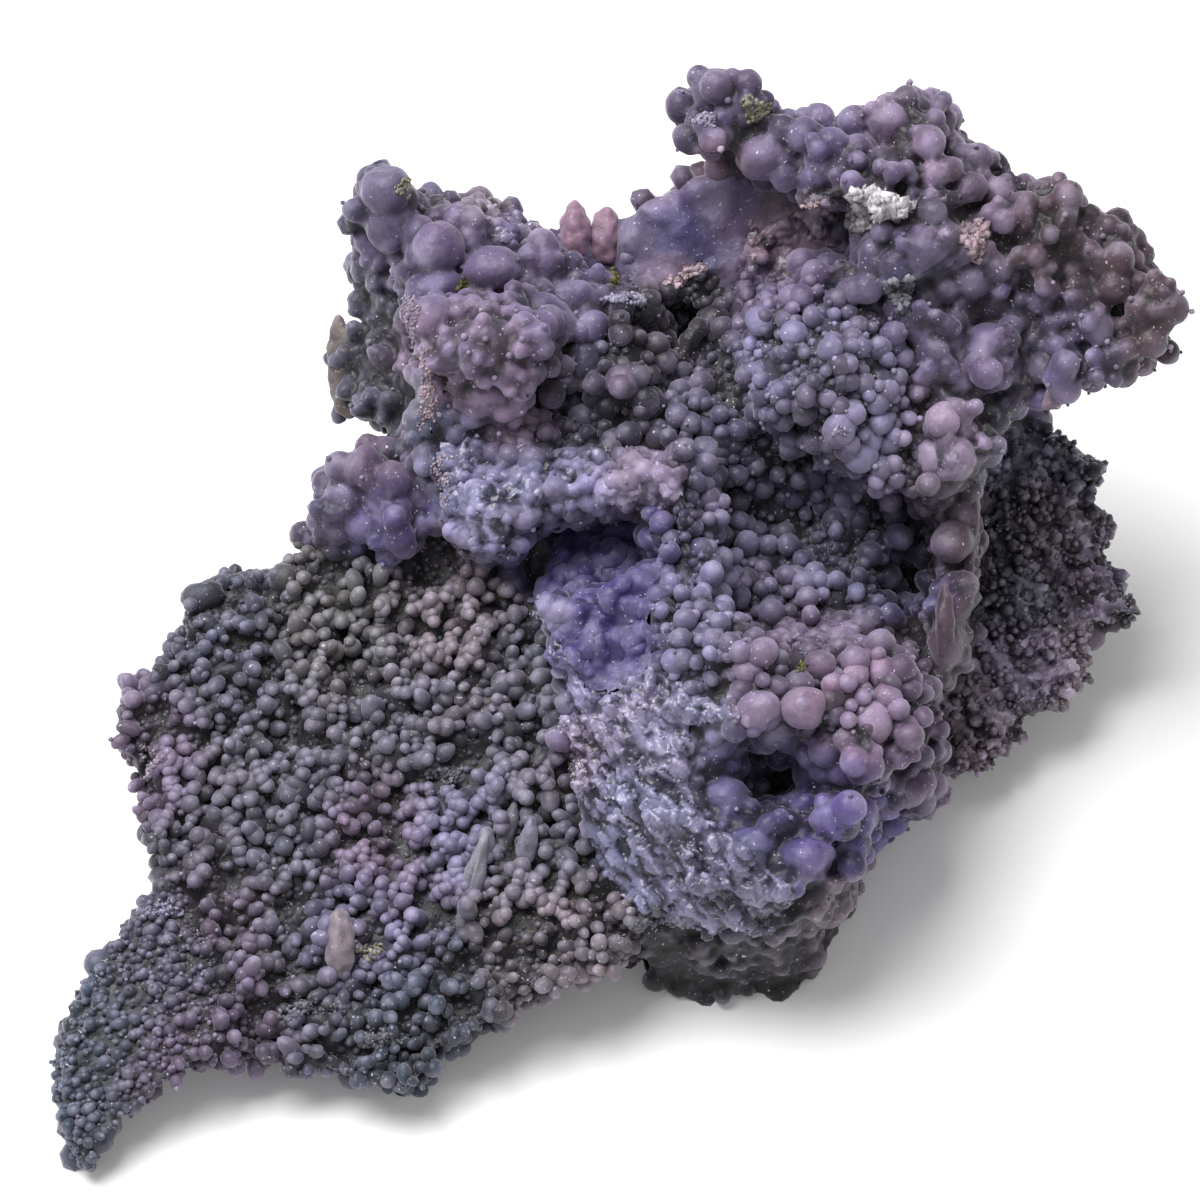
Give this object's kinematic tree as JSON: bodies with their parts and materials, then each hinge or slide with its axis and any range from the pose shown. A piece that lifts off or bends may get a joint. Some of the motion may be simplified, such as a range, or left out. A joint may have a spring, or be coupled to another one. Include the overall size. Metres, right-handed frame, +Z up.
{
  "type": "grape agate specimen",
  "caption": "Natural cluster of ball-covered purple chalcedony: a low plate with a tail, upright blocks round a valley and an overhanging arm, lying on a flat broken foot.",
  "frame": {"origin": "middle of the bounding box's underside, on the surface the cluster lies on", "axes": "+Z up from the surface it lies on, +X along its length from the tail's side to the arm's end, +Y from its display side to its back"},
  "size_m": [0.1875, 0.1691, 0.1002],
  "materials": {
    "chalcedony": "frosted and slightly translucent"
  },
  "bodies": {
    "root": {"grape_agate": "chalcedony"}
  },
  "joints": []
}
